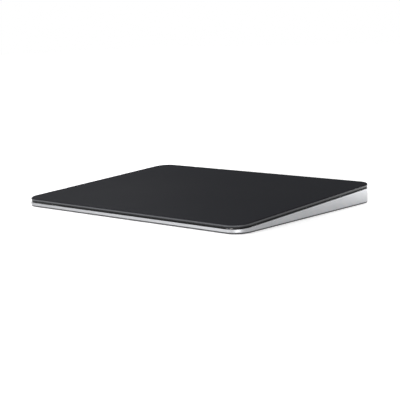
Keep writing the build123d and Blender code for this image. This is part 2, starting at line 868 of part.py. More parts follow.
with BuildPart() as port_insulator:
    with BuildSketch(mouth_plane.offset(-port_length)):
        SlotOverall(bore_width - 2 * thread_clearance, bore_height - 2 * thread_clearance)
    extrude(amount=insulator_length)
    with BuildSketch(mouth_plane.offset(-tongue_setback)):
        Rectangle(tongue_width, tongue_thickness)
    extrude(amount=-tongue_length)
finish(port_insulator, "port_insulator")

with BuildPart() as port_contacts:
    contact_step = (tongue_thickness + contact_thickness) / 2
    for face in (-1, 1):
        with BuildSketch(mouth_plane.offset(-tongue_setback - tongue_length)):
            with Locations((0, face * contact_step)):
                with GridLocations(contact_pitch, 0, contact_count, 1):
                    Rectangle(contact_width, contact_thickness)
        extrude(amount=contact_length)
finish(port_contacts, "port_contacts")

# Power switch: the green film in the recess, the ridged knob, and the slider in its body
recess_floor = rear_plane.offset(-recess_depth)
with BuildPart() as switch_film:
    with BuildSketch(recess_floor):
        with Locations((-switch_x, port_z)):
            SlotOverall(recess_length - recess_gap, recess_height - recess_gap)
            RectangleRounded(window_length, window_height, stem_gap, mode=Mode.SUBTRACT)
    extrude(amount=indicator_thickness)
finish(switch_film, "switch_indicator")

slider_back_y = rear_board_back - switch_body_sheet - slider_gap
slider_height = switch_body_height - 2 * switch_body_sheet - 2 * slider_gap
stem_reach = depth / 2 - knob_sink - knob_thickness - slider_back_y + slider_depth / 2
with BuildPart() as knob:
    knob_face = rear_plane.offset(-knob_sink)
    with BuildSketch(knob_face):
        with Locations((-knob_x, port_z)):
            SlotOverall(knob_length, knob_height)
    extrude(amount=-knob_thickness)
    chamfer(knob.faces().sort_by(Axis.Y)[-1].edges(), knob_edge)
    with BuildSketch(knob_face):
        with Locations((-knob_x, port_z)):
            with GridLocations(ridge_pitch, 0, knob_ridges, 1):
                SlotOverall(knob_height / 2, ridge_width, rotation=90)
    extrude(amount=-ridge_depth, mode=Mode.SUBTRACT)
    with BuildSketch(knob_face.offset(-knob_thickness)):
        with Locations((-knob_x, port_z)):
            Rectangle(stem_length, stem_height)
    extrude(amount=-stem_reach)
finish(knob, "switch_knob")

with BuildPart() as slider:
    with BuildSketch(Plane((0, slider_back_y, 0), x_dir=(-1, 0, 0), z_dir=(0, 1, 0))):
        with Locations((-knob_x, port_z)):
            Rectangle(slider_length, slider_height)
    extrude(amount=-slider_depth)
    with BuildSketch(Plane((0, slider_back_y, 0), x_dir=(-1, 0, 0), z_dir=(0, 1, 0))):
        with Locations((-knob_x, port_z)):
            Rectangle(stem_length + 2 * thread_clearance, stem_height + 2 * thread_clearance)
    extrude(amount=-slider_depth / 2 - thread_clearance, mode=Mode.SUBTRACT)
finish(slider, "switch_slider")

switch_body_z = board_top + switch_body_height / 2
with BuildPart() as switch_body:
    with BuildSketch(Plane((0, rear_board_back, 0), x_dir=(-1, 0, 0), z_dir=(0, 1, 0))):
        with Locations((-switch_x, switch_body_z)):
            Rectangle(switch_body_length, switch_body_height)
    extrude(amount=-switch_body_depth)
    with BuildSketch(Plane((0, rear_board_back - switch_body_sheet, 0), x_dir=(-1, 0, 0), z_dir=(0, 1, 0))):
        with Locations((-switch_x, switch_body_z)):
            Rectangle(switch_body_length - 2 * switch_body_sheet, switch_body_height - 2 * switch_body_sheet)
    extrude(amount=2 * switch_body_sheet - switch_body_depth, mode=Mode.SUBTRACT)
    with BuildSketch(Plane((0, rear_board_back, 0), x_dir=(-1, 0, 0), z_dir=(0, 1, 0))):
        with Locations((-switch_x, port_z)):
            RectangleRounded(window_length, window_height, stem_gap)
    extrude(amount=-switch_body_sheet, mode=Mode.SUBTRACT)
finish(switch_body, "switch_body")
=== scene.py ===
import math

import bpy
from mathutils import Matrix, Vector


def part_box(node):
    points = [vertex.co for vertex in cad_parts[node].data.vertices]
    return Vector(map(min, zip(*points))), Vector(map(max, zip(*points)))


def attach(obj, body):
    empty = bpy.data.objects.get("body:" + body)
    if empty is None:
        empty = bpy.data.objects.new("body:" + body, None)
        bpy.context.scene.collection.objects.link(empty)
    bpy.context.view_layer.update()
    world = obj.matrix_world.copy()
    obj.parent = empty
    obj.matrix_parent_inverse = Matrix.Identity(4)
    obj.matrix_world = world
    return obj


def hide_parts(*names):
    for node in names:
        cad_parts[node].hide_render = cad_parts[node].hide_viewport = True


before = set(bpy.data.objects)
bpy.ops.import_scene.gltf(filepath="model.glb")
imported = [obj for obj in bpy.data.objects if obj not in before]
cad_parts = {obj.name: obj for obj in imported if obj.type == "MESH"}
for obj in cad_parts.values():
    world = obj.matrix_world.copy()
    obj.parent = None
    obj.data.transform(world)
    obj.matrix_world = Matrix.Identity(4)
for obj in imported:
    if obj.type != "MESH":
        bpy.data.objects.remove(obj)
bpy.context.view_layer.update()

# A desk trackpad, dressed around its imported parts, in metres.
# x runs to the right, y to the rear and z up; the touch surface leans towards the front.
TILT = math.radians(2.99)
SLOPE = Vector((0.0, -math.sin(TILT), math.cos(TILT)))
ORIGIN = (0.0, 0.0, 0.0)

# Camera, as fitted to the outline in the photograph
CAMERA_YAW = math.radians(-42.524)
CAMERA_PITCH = math.radians(9.378)
CAMERA_ROLL = math.radians(-1.860)
CAMERA_DISTANCE = 0.5985
CAMERA_AIM = Vector((0.0, 0.0, 0.00545))
CAMERA_AIM_RIGHT = 0.002274
CAMERA_AIM_UP = -0.003067
CAMERA_NEAREST = 0.01
FILM_WIDTH = 36.0
LENS = 96.15

# A face looks along an axis where its normal has at least this share of it
FACING = 0.7


class Wire:
    """A shader socket that takes part in sums, like a number."""

    def __init__(self, finish, socket):
        self.finish = finish
        self.socket = socket

    def _sum(self, operation, *terms):
        sockets = {number: term for number, term in enumerate(terms)}
        return self.finish.node("ShaderNodeMath", {"operation": operation}, sockets)["Value"]

    def __add__(self, other):
        return self._sum("ADD", self, other)

    def __radd__(self, other):
        return self._sum("ADD", other, self)

    def __sub__(self, other):
        return self._sum("SUBTRACT", self, other)

    def __rsub__(self, other):
        return self._sum("SUBTRACT", other, self)

    def __mul__(self, other):
        return self._sum("MULTIPLY", self, other)

    def __rmul__(self, other):
        return self._sum("MULTIPLY", other, self)

    def __truediv__(self, other):
        return self._sum("DIVIDE", self, other)

    def __rtruediv__(self, other):
        return self._sum("DIVIDE", other, self)

    def __mod__(self, other):
        return self._sum("FLOORED_MODULO", self, other)

    def __lt__(self, other):
        return self._sum("LESS_THAN", self, other)

    def __gt__(self, other):
        return self._sum("GREATER_THAN", self, other)

    def __abs__(self):
        return self._sum("ABSOLUTE", self)


class Outputs:
    """A shader node whose outputs are picked by name."""

    def __init__(self, finish, made):
        self.finish = finish
        self.made = made

    def __getitem__(self, name):
        return Wire(self.finish, pick(self.made.outputs, name))


def pick(sockets, name):
    """The socket of that number, identifier or name."""
    if isinstance(name, int):
        return sockets[name]
    for socket in sockets:
        if socket.identifier == name:
            return socket
    return sockets[name]


class Finish:
    """One material, and what its nodes are made with."""

    def __init__(self, name):
        self.material = bpy.data.materials.new(name)
        self.material.use_nodes = True
        self.tree = self.material.node_tree
        self.tree.nodes.clear()
        self.output = self.node("ShaderNodeOutputMaterial")
        self.place = self.node("ShaderNodeTexCoord")["Object"]

    def node(self, kind, settings=None, sockets=None):
        """Adds any node: its settings first, then the values or links of its sockets."""
        made = self.tree.nodes.new(kind)
        for name, value in (settings or {}).items():
            setattr(made, name, value)
        for name, value in (sockets or {}).items():
            self.feed(pick(made.inputs, name), value)
        return Outputs(self, made)

    def feed(self, socket, value):
        """Links a socket to a wire, or sets its value."""
        if isinstance(value, Wire):
            self.tree.links.new(value.socket, socket)
        elif socket.type == "RGBA" and len(value) == 3:
            socket.default_value = (*value, 1.0)
        else:
            socket.default_value = value

    def paint(self, sockets):
        """Gives the material its surface."""
        surface = self.node("ShaderNodeBsdfPrincipled", None, sockets)
        self.show(surface["BSDF"])

    def show(self, shader):
        """Links a shader to the output."""
        self.tree.links.new(shader.socket, self.output.made.inputs["Surface"])

    def stretched(self, x, y, z):
        """The place on the part, with each axis scaled by its own number."""
        scale = {"Scale": (x, y, z), "Vector": self.place}
        return self.node("ShaderNodeMapping", {"vector_type": "POINT"}, scale)["Vector"]

    def axes(self, letters):
        """How far each point lies along each of those axes of the part."""
        split = self.node("ShaderNodeSeparateXYZ", None, {"Vector": self.place})
        return [split[letter] for letter in letters]

    def level(self):
        """How high each point lies, measured square to the touch surface."""
        y, z = self.axes("YZ")
        return y * SLOPE.y + z * SLOPE.z

    def noise(self, scale, detail=2.0, roughness=0.5, place=None):
        """Soft random patches, from 0 to 1."""
        sockets = {
            "Vector": place or self.place,
            "Scale": scale,
            "Detail": detail,
            "Roughness": roughness,
        }
        return self.node("ShaderNodeTexNoise", None, sockets)["Fac"]

    def cells(self, scale, output="Distance"):
        """How far each point lies from the middle of its random cell, or the cell's colour."""
        sockets = {"Vector": self.place, "Scale": scale}
        return self.node("ShaderNodeTexVoronoi", None, sockets)[output]

    def faces(self, letter):
        """1 where the surface looks along that axis, either way, and 0 elsewhere."""
        way = self.node("ShaderNodeNewGeometry")["Normal"]
        split = self.node("ShaderNodeSeparateXYZ", None, {"Vector": way})
        return abs(split[letter]) > FACING

    def seen(self):
        """1 where the camera or a mirrored or refracted ray looks, 0 for the light on surfaces."""
        path = self.node("ShaderNodeLightPath")
        return path["Is Camera Ray"] + path["Is Glossy Ray"] + path["Is Transmission Ray"]

    def spread(self, value, low, high, from_low=0.3, from_high=0.7):
        """A value brought from one range to another, and held inside it."""
        sockets = {
            "Value": value,
            "From Min": from_low,
            "From Max": from_high,
            "To Min": low,
            "To Max": high,
        }
        return self.node("ShaderNodeMapRange", {"clamp": True}, sockets)["Result"]

    def blend(self, share, first, second):
        """A colour between two colours."""
        sockets = {"Factor_Float": share, "A_Color": first, "B_Color": second}
        return self.node("ShaderNodeMix", {"data_type": "RGBA"}, sockets)["Result_Color"]

    def relief(self, height, depth, strength=1.0):
        """Bumps of that depth in metres."""
        sockets = {"Height": height, "Distance": depth, "Strength": strength}
        return self.node("ShaderNodeBump", None, sockets)["Normal"]


def etched_black_glass():
    """The flat touch surface: finely etched, printed black from below."""
    finish = Finish("etched_black_glass")
    grain = finish.noise(6000.0, 3.0)
    smudge = finish.noise(16.0, 3.0, 0.45)
    finish.paint({
        "Base Color": finish.blend(smudge, (0.0117, 0.0122, 0.0142), (0.0132, 0.0137, 0.0160)),
        "Roughness": finish.spread(smudge, 0.52, 0.56),
        "Specular IOR Level": 0.0024,
        "Normal": finish.relief(grain, 0.000004, 0.4),
    })
    return finish.material


def printed_glass_rim():
    """The rounded rim and the lower edge of the glass, where the black print shows."""
    finish = Finish("printed_glass_rim")
    grain = finish.noise(1800.0, 2.0)
    finish.paint({
        "Base Color": finish.blend(grain, (0.0085, 0.0088, 0.0100), (0.0120, 0.0124, 0.0140)),
        "Roughness": finish.spread(grain, 0.50, 0.60),
        "Specular IOR Level": 0.0,
    })
    return finish.material


GLASS_TOP = 0.00789
EDGE_DARK_BELOW = GLASS_TOP - 0.00106
EDGE_LIGHT_ABOVE = GLASS_TOP - 0.00094


def polished_glass_edge():
    """The ground side of the glass: lighter than the print, and darker again along its lowest part."""
    finish = Finish("polished_glass_edge")
    grain = finish.noise(900.0, 2.0)
    # The side is darker along its lowest part and blends up into the lighter ground colour
    clear = finish.spread(finish.level(), 0.0, 1.0, EDGE_DARK_BELOW, EDGE_LIGHT_ABOVE)
    grinding = finish.noise(900.0, 3.0, 0.6, finish.stretched(0.05, 0.05, 6.0))
    ground = finish.blend(grain, (0.027, 0.028, 0.031), (0.034, 0.035, 0.038))
    finish.paint({
        "Base Color": finish.blend(clear, (0.0040, 0.0041, 0.0046), ground),
        "Roughness": finish.spread(grinding, 0.20, 0.28),
        "Specular IOR Level": 0.25,
        "Normal": finish.relief(grinding, 0.000003, 0.4),
    })
    return finish.material


def bead_blasted_aluminium():
    """Blasted and anodised aluminium, with the faint cloud that the blasting leaves."""
    finish = Finish("bead_blasted_aluminium")
    blast = finish.noise(5200.0, 3.0, 0.6)
    cloud = finish.noise(60.0, 3.0)
    finish.paint({
        "Base Color": finish.blend(
            finish.spread(cloud, 0.0, 1.0),
            (0.290, 0.294, 0.304),
            (0.306, 0.310, 0.320),
        ),
        "Metallic": 1.0,
        "Roughness": finish.spread(blast, 0.29, 0.35),
        "Normal": finish.relief(blast, 0.000006, 0.6),
    })
    return finish.material


def black_anodised_carrier():
    """The thin black tray that the glass is bonded to."""
    finish = Finish("black_anodised_carrier")
    peel = finish.noise(2600.0, 3.0)
    patch = finish.noise(140.0, 2.0)
    finish.paint({
        "Base Color": finish.blend(patch, (0.0042, 0.0043, 0.0046), (0.0064, 0.0065, 0.0070)),
        "Roughness": finish.spread(peel, 0.54, 0.64),
        "Specular IOR Level": 0.06,
        "Normal": finish.relief(peel, 0.000005, 0.5),
    })
    return finish.material


def spark_eroded_cover_plastic():
    """The moulded plate underneath, with the grain of a spark-eroded mould."""
    finish = Finish("spark_eroded_cover_plastic")
    pits = finish.cells(1500.0)
    grain = finish.noise(2400.0, 4.0, 0.6)
    flow = finish.noise(26.0, 3.0)
    height = pits * 0.6 + grain * 0.4
    finish.paint({
        "Base Color": finish.blend(
            finish.spread(flow * 0.5 + grain * 0.5, 0.0, 1.0, 0.35, 0.65),
            (0.014, 0.014, 0.015),
            (0.019, 0.019, 0.0205),
        ),
        "Roughness": finish.spread(height, 0.56, 0.72),
        "Specular IOR Level": 0.15,
        "Normal": finish.relief(height, 0.000016, 0.7),
    })
    return finish.material


WORN_BELOW = 0.00002
FRESH_ABOVE = 0.00030


def moulded_foot_rubber():
    """Soft dark rubber with a little dust in its grain, worn smoother on the ring it stands on."""
    finish = Finish("moulded_foot_rubber")
    height = finish.axes("Z")[0]
    grain = finish.noise(3200.0, 4.0, 0.65)
    dust = finish.noise(700.0, 4.0, 0.7)
    standing = finish.spread(height, 1.0, 0.0, WORN_BELOW, FRESH_ABOVE)
    dusty = finish.spread(dust, 0.0, 1.0, 0.52, 0.72)
    finish.paint({
        "Base Color": finish.blend(dusty, (0.014, 0.014, 0.015), (0.032, 0.031, 0.030)),
        "Roughness": 0.88 - 0.22 * standing - 0.06 * grain,
        "Specular IOR Level": 0.22,
        "Normal": finish.relief(grain, 0.000012, 0.7),
    })
    return finish.material


def drawn_port_steel():
    """Bright steel drawn through a die, so its lines run into the port."""
    finish = Finish("drawn_port_steel")
    lines = finish.noise(1100.0, 4.0, 0.65, finish.stretched(6.0, 0.15, 6.0))
    finish.paint({
        "Base Color": finish.blend(lines, (0.50, 0.50, 0.51), (0.63, 0.63, 0.64)),
        "Metallic": 1.0,
        "Roughness": finish.spread(lines, 0.20, 0.38),
        "Normal": finish.relief(lines, 0.000005, 0.5),
    })
    return finish.material


def port_tongue_plastic():
    """Glass-filled black plastic: its fibres show as faint short streaks."""
    finish = Finish("port_tongue_plastic")
    fibres = finish.noise(2000.0, 3.0, 0.6, finish.stretched(2.5, 0.4, 2.5))
    finish.paint({
        "Base Color": finish.blend(fibres, (0.010, 0.010, 0.011), (0.024, 0.024, 0.025)),
        "Roughness": finish.spread(fibres, 0.34, 0.50),
        "Specular IOR Level": 0.4,
        "Normal": finish.relief(fibres, 0.000005, 0.5),
    })
    return finish.material


WIPING_STARTS = 0.0533
WIPING_FULL = 0.0552


def plated_gold_contacts():
    """Gold flash over nickel, wiped thinner towards the port's mouth."""
    finish = Finish("plated_gold_contacts")
    y = finish.axes("Y")[0]
    wiping = finish.noise(5000.0, 3.0, 0.6, finish.stretched(2.0, 0.08, 2.0))
    near_mouth = finish.spread(y, 0.0, 1.0, WIPING_STARTS, WIPING_FULL)
    worn = near_mouth * finish.spread(wiping, 0.0, 1.0, 0.50, 0.62)
    finish.paint({
        "Base Color": finish.blend(worn * 0.7, (0.80, 0.55, 0.20), (0.60, 0.55, 0.46)),
        "Metallic": 1.0,
        "Roughness": 0.20 + 0.18 * wiping,
        "Normal": finish.relief(wiping, 0.000002, 0.4),
    })
    return finish.material


def green_switch_film():
    """The green film beside the switch knob, seen when the switch is on."""
    finish = Finish("green_switch_film")
    print_dots = finish.cells(6000.0)
    ink = finish.noise(900.0, 3.0)
    finish.paint({
        "Base Color": finish.blend(ink, (0.020, 0.330, 0.070), (0.030, 0.420, 0.095)),
        "Roughness": finish.spread(print_dots, 0.40, 0.52, 0.2, 0.8),
        "Normal": finish.relief(print_dots, 0.000002, 0.4),
    })
    return finish.material


VIA_RING = 0.20
VIA_HOLE = 0.09


def solder_masked_board():
    """A circuit board: traces under a dark mask, gold vias with their holes in painted shade, and bare
    laminate on its edges.
    """
    finish = Finish("solder_masked_board")
    traces = finish.node("ShaderNodeTexBrick", {"offset": 0.37, "squash": 1.0}, {
        "Vector": finish.place,
        "Scale": 1000.0,
        "Mortar Size": 0.045,
        "Mortar Smooth": 0.25,
        "Brick Width": 3.1,
        "Row Height": 0.42,
    })["Fac"]
    routed = finish.spread(finish.noise(95.0, 1.0), 0.0, 1.0, 0.49, 0.51)
    copper_lines = traces * routed
    via = finish.cells(620.0)
    rings = (via < VIA_RING) * (1.0 - routed)
    holes = (via < VIA_HOLE) * (1.0 - routed)
    weave = finish.noise(3000.0, 2.0)
    mask_colour = finish.blend(copper_lines, (0.004, 0.020, 0.018), (0.008, 0.060, 0.046))
    plated = finish.blend(rings, mask_colour, (0.72, 0.50, 0.20))
    # The via holes are painted dark: painted shade inside the holes
    holes_in_painted_shade = finish.blend(holes, plated, (0.010, 0.008, 0.006))
    edge = 1.0 - finish.faces("Z")
    laminate = finish.blend(weave, (0.22, 0.17, 0.075), (0.30, 0.24, 0.11))
    finish.paint({
        "Base Color": finish.blend(edge, holes_in_painted_shade, laminate),
        "Metallic": rings * (1.0 - holes) * (1.0 - edge),
        "Roughness": 0.34 + 0.40 * edge - 0.08 * rings + 0.06 * weave,
        "Normal": finish.relief(copper_lines * 0.8 - holes + weave * 0.1, 0.000020, 0.7),
    })
    return finish.material


ELECTRODE_PITCH = 0.0050
ELECTRODE_GAP = 0.00022
BRIDGE_HALF_WIDTH = 0.00012
BRIDGE_HALF_LENGTH = 0.00050


def electrode_grid_board():
    """The touch-sensing board: rows and columns of diamonds under a dark film."""
    finish = Finish("electrode_grid_board")
    x, y = finish.axes("XY")
    across = (x + y) % ELECTRODE_PITCH
    along = (x - y) % ELECTRODE_PITCH
    parting = 1.0 - (1.0 - (across < ELECTRODE_GAP)) * (1.0 - (along < ELECTRODE_GAP))
    bridge_x = abs((x % ELECTRODE_PITCH) - ELECTRODE_PITCH / 2) < BRIDGE_HALF_WIDTH
    bridge_y = abs((y % ELECTRODE_PITCH) - ELECTRODE_PITCH / 2) < BRIDGE_HALF_LENGTH
    bridge = bridge_x * bridge_y
    haze = finish.noise(800.0, 3.0)
    diamonds = finish.blend(parting, (0.150, 0.085, 0.035), (0.012, 0.014, 0.013))
    joined = finish.blend(bridge, diamonds, (0.260, 0.150, 0.060))
    edge = 1.0 - finish.faces("Z")
    laminate = finish.blend(haze, (0.20, 0.16, 0.07), (0.27, 0.21, 0.10))
    finish.paint({
        "Base Color": finish.blend(edge, joined, laminate),
        "Metallic": 0.55 * (1.0 - parting) * (1.0 - edge),
        "Roughness": 0.38 + 0.10 * haze + 0.20 * edge,
        "Normal": finish.relief(bridge + 0.5 - parting * 0.5 + haze * 0.1, 0.000012, 0.7),
    })
    return finish.material


def rolled_spring_steel():
    """Cold-rolled spring strip, its rolling lines along the spring, with a faint straw tint."""
    finish = Finish("rolled_spring_steel")
    rolling = finish.noise(900.0, 4.0, 0.65, finish.stretched(4.0, 0.10, 4.0))
    tint = finish.noise(130.0, 3.0)
    finish.paint({
        "Base Color": finish.blend(tint, (0.36, 0.36, 0.37), (0.44, 0.40, 0.34)),
        "Metallic": 1.0,
        "Roughness": finish.spread(rolling, 0.26, 0.40),
        "Normal": finish.relief(rolling, 0.000001, 0.25),
    })
    return finish.material


# The strain gauges' pattern: its middle on the part, then its measures from there
GAUGE_X = 0.0660
GAUGE_Y = 0.0400
GRID_HALF_WIDTH = 0.00080
GRID_NEAR = -0.00060
GRID_FAR = 0.00140
GRID_PITCH = 0.00032
GRID_LINE = 0.00018
GRID_SHIFT = 0.01
LOOP_NEAR = -0.00055
LOOP_FAR = 0.00135
LOOP_HALF_WIDTH = 0.00007
PAD_NEAR = -0.00160
PAD_FAR = -0.00085
PAD_MIDDLE = 0.00050
PAD_HALF_WIDTH = 0.00034


def strain_gauge_foil():
    """Foil strain gauge: a fine zigzag and two solder pads on an amber backing."""
    finish = Finish("strain_gauge_foil")
    x, y = finish.axes("XY")
    side = abs(x) - GAUGE_X
    reach = abs(y) - GAUGE_Y
    across = abs(side) < GRID_HALF_WIDTH
    inside = across * (reach > GRID_NEAR) * (reach < GRID_FAR)
    lines = (((side + GRID_SHIFT) % GRID_PITCH) < GRID_LINE) * inside
    near_loops = abs(reach - LOOP_NEAR) < LOOP_HALF_WIDTH
    far_loops = abs(reach - LOOP_FAR) < LOOP_HALF_WIDTH
    loops = across * (far_loops + near_loops)
    pads = (abs(abs(side) - PAD_MIDDLE) < PAD_HALF_WIDTH) * (reach > PAD_NEAR) * (reach < PAD_FAR)
    grid = finish.spread(lines + loops, 0.0, 1.0, 0.0, 1.0)
    backing = finish.noise(1600.0, 3.0)
    amber = finish.blend(backing, (0.46, 0.20, 0.035), (0.56, 0.26, 0.050))
    etched = finish.blend(grid, amber, (0.50, 0.44, 0.36))
    metal = finish.spread(grid + pads, 0.0, 1.0, 0.0, 1.0)
    finish.paint({
        "Base Color": finish.blend(pads, etched, (0.68, 0.67, 0.64)),
        "Metallic": metal * 0.9,
        "Roughness": 0.42 - 0.12 * metal + 0.06 * backing,
        "Normal": finish.relief(metal + backing * 0.1, 0.000010, 0.6),
    })
    return finish.material


BUBBLE = 0.16


def cast_silicone():
    """Soft milky silicone with tiny bubbles."""
    finish = Finish("cast_silicone")
    trapped = finish.cells(2600.0) < BUBBLE
    cloud = finish.noise(500.0, 3.0)
    skin = finish.blend(cloud, (0.27, 0.26, 0.25), (0.34, 0.33, 0.31))
    finish.paint({
        "Base Color": finish.blend(trapped * 0.35, skin, (0.48, 0.47, 0.46)),
        "Roughness": finish.spread(cloud, 0.40, 0.52),
        "Subsurface Weight": 0.25,
        "Subsurface Scale": 0.0005,
        "Normal": finish.relief(trapped * 0.4 + cloud, 0.000008, 0.5),
    })
    return finish.material


def nickelled_screw_steel():
    """Small turned screws, nickelled, with fine turning marks around the shank and on the head."""
    finish = Finish("nickelled_screw_steel")
    turning = finish.noise(2600.0, 3.0, 0.6, finish.stretched(0.3, 0.3, 4.0))
    plating = finish.noise(1500.0, 3.0)
    finish.paint({
        "Base Color": finish.blend(plating, (0.54, 0.52, 0.48), (0.66, 0.64, 0.59)),
        "Metallic": 1.0,
        "Roughness": finish.spread(turning * 0.6 + plating * 0.4, 0.22, 0.36),
        "Normal": finish.relief(turning, 0.000001, 0.3),
    })
    return finish.material


LAMINATION = 0.00020
JOINT = LAMINATION * 0.16


def laminated_core_iron():
    """Silicon iron sheets stacked square to the slope: their joints line the core's sides."""
    finish = Finish("laminated_core_iron")
    joint = (finish.level() % LAMINATION) < JOINT
    stacked = joint * (1.0 - finish.faces("Z"))
    scale = finish.noise(420.0, 4.0, 0.6)
    finish.paint({
        "Base Color": finish.blend(
            stacked,
            finish.blend(scale, (0.24, 0.25, 0.27), (0.36, 0.36, 0.37)),
            (0.05, 0.05, 0.055),
        ),
        "Metallic": 0.9 - 0.5 * stacked,
        "Roughness": finish.spread(scale, 0.38, 0.54),
        "Normal": finish.relief(scale * 0.3 - stacked, 0.000014, 0.6),
    })
    return finish.material


def zinc_plated_iron():
    """Zinc-plated soft iron with its faint spangle."""
    finish = Finish("zinc_plated_iron")
    spangle = finish.cells(420.0, "Color")
    facet = finish.node("ShaderNodeSeparateColor", None, {"Color": spangle})["Red"]
    grain = finish.noise(2400.0, 3.0)
    finish.paint({
        "Base Color": finish.blend(facet, (0.46, 0.47, 0.49), (0.58, 0.59, 0.60)),
        "Metallic": 1.0,
        "Roughness": 0.28 + 0.10 * facet + 0.06 * grain,
        "Normal": finish.relief(grain, 0.000004, 0.4),
    })
    return finish.material


def enamelled_copper_wire():
    """Enamelled copper wire: each turn a little lighter or darker than the next."""
    finish = Finish("enamelled_copper_wire")
    turn = finish.noise(1500.0, 2.0, 0.5, finish.stretched(2.4, 0.05, 0.05))
    varnish = finish.noise(500.0, 3.0)
    finish.paint({
        "Base Color": finish.blend(
            finish.spread(turn, 0.0, 1.0),
            (0.44, 0.135, 0.042),
            (0.66, 0.250, 0.085),
        ),
        "Metallic": 0.85,
        "Roughness": finish.spread(varnish, 0.24, 0.34),
        "Coat Weight": 0.4,
        "Coat Roughness": 0.18,
    })
    return finish.material


def tinned_shield_steel():
    """Tinned shield sheet: satin, with press lines and small dull patches."""
    finish = Finish("tinned_shield_steel")
    lines = finish.noise(700.0, 4.0, 0.6, finish.stretched(0.15, 4.0, 4.0))
    patch = finish.noise(260.0, 3.0)
    finish.paint({
        "Base Color": finish.blend(patch, (0.50, 0.50, 0.49), (0.60, 0.60, 0.58)),
        "Metallic": 1.0,
        "Roughness": finish.spread(lines * 0.5 + patch * 0.5, 0.30, 0.46),
        "Normal": finish.relief(lines, 0.000005, 0.5),
    })
    return finish.material


# Above this height lie only the tops of the chips and the antenna
CHIP_TOPS = 0.0037
CHIP_LEFT_EDGES = (0.0230, 0.0320)
CHIP_REAR_EDGE = -0.02245
DIMPLE_INSET = 0.0009
DIMPLE_RADIUS = 0.00035


def moulded_chip_epoxy():
    """Matt black moulding compound, with the round dimple that marks the first pin."""
    finish = Finish("moulded_chip_epoxy")
    x, y, z = finish.axes("XYZ")
    grain = finish.noise(4200.0, 4.0, 0.65)
    off_y = y - (CHIP_REAR_EDGE - DIMPLE_INSET)
    dimple = 0.0
    for edge in CHIP_LEFT_EDGES:
        off_x = x - (edge + DIMPLE_INSET)
        dimple = dimple + ((off_x * off_x + off_y * off_y) < DIMPLE_RADIUS * DIMPLE_RADIUS)
    dimple = dimple * (z > CHIP_TOPS)
    body = finish.blend(grain, (0.010, 0.010, 0.011), (0.019, 0.019, 0.020))
    finish.paint({
        "Base Color": finish.blend(dimple * 0.6, body, (0.006, 0.006, 0.006)),
        "Roughness": 0.66 - 0.30 * dimple + 0.06 * grain,
        "Specular IOR Level": 0.35,
        "Normal": finish.relief(grain * 0.25 - dimple, 0.000020, 0.7),
    })
    return finish.material


ANTENNA_LEFT = -0.0350
ANTENNA_LENGTH = 0.0120
ANTENNA_MIDDLE = -0.02595
SILVERED = 0.0009
ZIGZAG_PITCH = 0.0015
ZIGZAG_LINE = 0.00038
ZIGZAG_JOIN = 0.00082
ZIGZAG_HALF_WIDTH = 0.0010


def ceramic_antenna():
    """White ceramic with silvered ends and a printed silver zigzag."""
    finish = Finish("ceramic_antenna")
    x, y, z = finish.axes("XYZ")
    along = x - ANTENNA_LEFT
    off = y - ANTENNA_MIDDLE
    bars = ((along % ZIGZAG_PITCH) < ZIGZAG_LINE) * (abs(off) < ZIGZAG_HALF_WIDTH)
    joined = ZIGZAG_PITCH + ZIGZAG_LINE
    rear = abs(off - ZIGZAG_JOIN) < ZIGZAG_LINE / 2
    rear_joins = rear * ((along % (2 * ZIGZAG_PITCH)) < joined)
    front = abs(off + ZIGZAG_JOIN) < ZIGZAG_LINE / 2
    front_joins = front * (((along + ZIGZAG_PITCH) % (2 * ZIGZAG_PITCH)) < joined)
    top = z > CHIP_TOPS
    ends = 1.0 - (along > SILVERED) * (along < ANTENNA_LENGTH - SILVERED)
    zigzag = finish.spread(bars + rear_joins + front_joins, 0.0, 1.0, 0.0, 1.0) * top
    silver = finish.spread(zigzag + ends, 0.0, 1.0, 0.0, 1.0)
    fired = finish.noise(1700.0, 3.0)
    body = finish.blend(fired, (0.66, 0.65, 0.62), (0.74, 0.73, 0.70))
    finish.paint({
        "Base Color": finish.blend(silver, body, (0.62, 0.61, 0.59)),
        "Metallic": silver,
        "Roughness": 0.46 - 0.10 * silver + 0.06 * fired,
        "Normal": finish.relief(silver + fired * 0.1, 0.000012, 0.6),
    })
    return finish.material


CAPACITOR_PITCH = 0.0024
CAPACITOR_FIRST = 0.0050
CAPACITOR_LEFT_STEP = 0.0008
CAPACITOR_BODY = 0.00050


def ceramic_capacitors():
    """Tan ceramic blocks with tinned ends, in rows."""
    finish = Finish("ceramic_capacitors")
    x = finish.axes("X")[0]
    shifted = x - CAPACITOR_FIRST + CAPACITOR_PITCH / 2 - CAPACITOR_LEFT_STEP * (x < 0.0)
    off = (shifted % CAPACITOR_PITCH) - CAPACITOR_PITCH / 2
    ends = abs(off) > CAPACITOR_BODY
    fired = finish.noise(2400.0, 3.0)
    body = finish.blend(fired, (0.30, 0.19, 0.105), (0.40, 0.26, 0.15))
    finish.paint({
        "Base Color": finish.blend(ends, body, (0.66, 0.66, 0.64)),
        "Metallic": ends,
        "Roughness": 0.50 - 0.14 * ends + 0.08 * fired,
        "Normal": finish.relief(ends * 0.8 + fired * 0.2, 0.000015, 0.6),
    })
    return finish.material


LEG_PITCH = 0.0005
LEG_WIDTH = 0.00022
LEG_TOP = 0.00335


def ivory_cable_connectors():
    """Ivory connector bodies with rows of tinned legs along their sides."""
    finish = Finish("ivory_cable_connectors")
    x, z = finish.axes("XZ")
    legs = ((x % LEG_PITCH) < LEG_WIDTH) * finish.faces("Y") * (z < LEG_TOP)
    flow = finish.noise(900.0, 3.0)
    body = finish.blend(flow, (0.60, 0.56, 0.45), (0.70, 0.66, 0.55))
    finish.paint({
        "Base Color": finish.blend(legs, body, (0.62, 0.62, 0.60)),
        "Metallic": legs,
        "Roughness": 0.42 - 0.08 * legs + 0.08 * flow,
        "Normal": finish.relief(legs + flow * 0.15, 0.000012, 0.6),
    })
    return finish.material


CONDUCTOR_PITCH = 0.00050
CONDUCTOR_WIDTH = CONDUCTOR_PITCH / 2
CABLE_BEND = 0.0652

